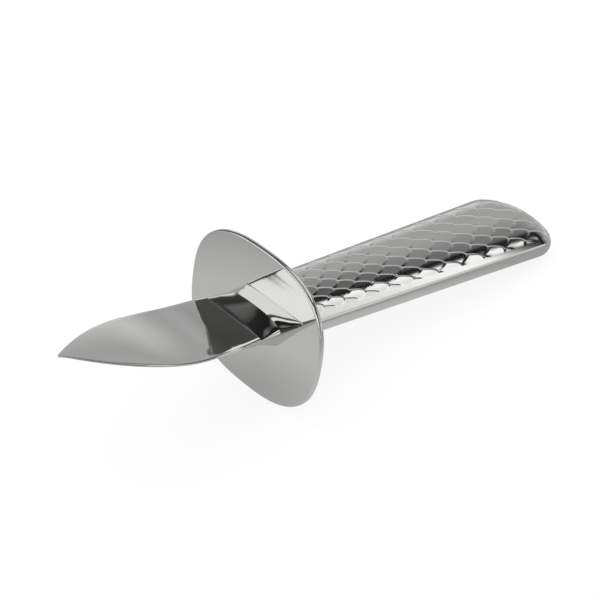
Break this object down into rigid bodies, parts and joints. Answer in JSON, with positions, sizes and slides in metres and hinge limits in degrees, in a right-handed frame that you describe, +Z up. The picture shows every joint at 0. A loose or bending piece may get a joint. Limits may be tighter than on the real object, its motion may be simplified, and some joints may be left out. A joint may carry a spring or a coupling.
{
  "type": "oyster knife",
  "caption": "Oyster knife in polished steel with a leaf blade, an upright plate guard and a flat hollow handle embossed with a fish-scale pattern",
  "frame": {"origin": "middle of the guard's front face, on the knife's axis", "axes": "+X along the knife towards the blade's tip, +Y across the blade, +Z up from the blade's upper face"},
  "size_m": [0.1652, 0.0504, 0.041],
  "materials": {
    "polished_steel": "mirror polished stainless steel",
    "embossed_steel": "polished stainless steel, embossed with a fish-scale pattern",
    "handle_filler": "dull hard cement, hidden in the handle"
  },
  "bodies": {
    "root": {"blade": "polished_steel", "guard": "polished_steel", "handle_upper_shell": "embossed_steel", "handle_lower_shell": "embossed_steel", "handle_core": "handle_filler"}
  },
  "joints": []
}
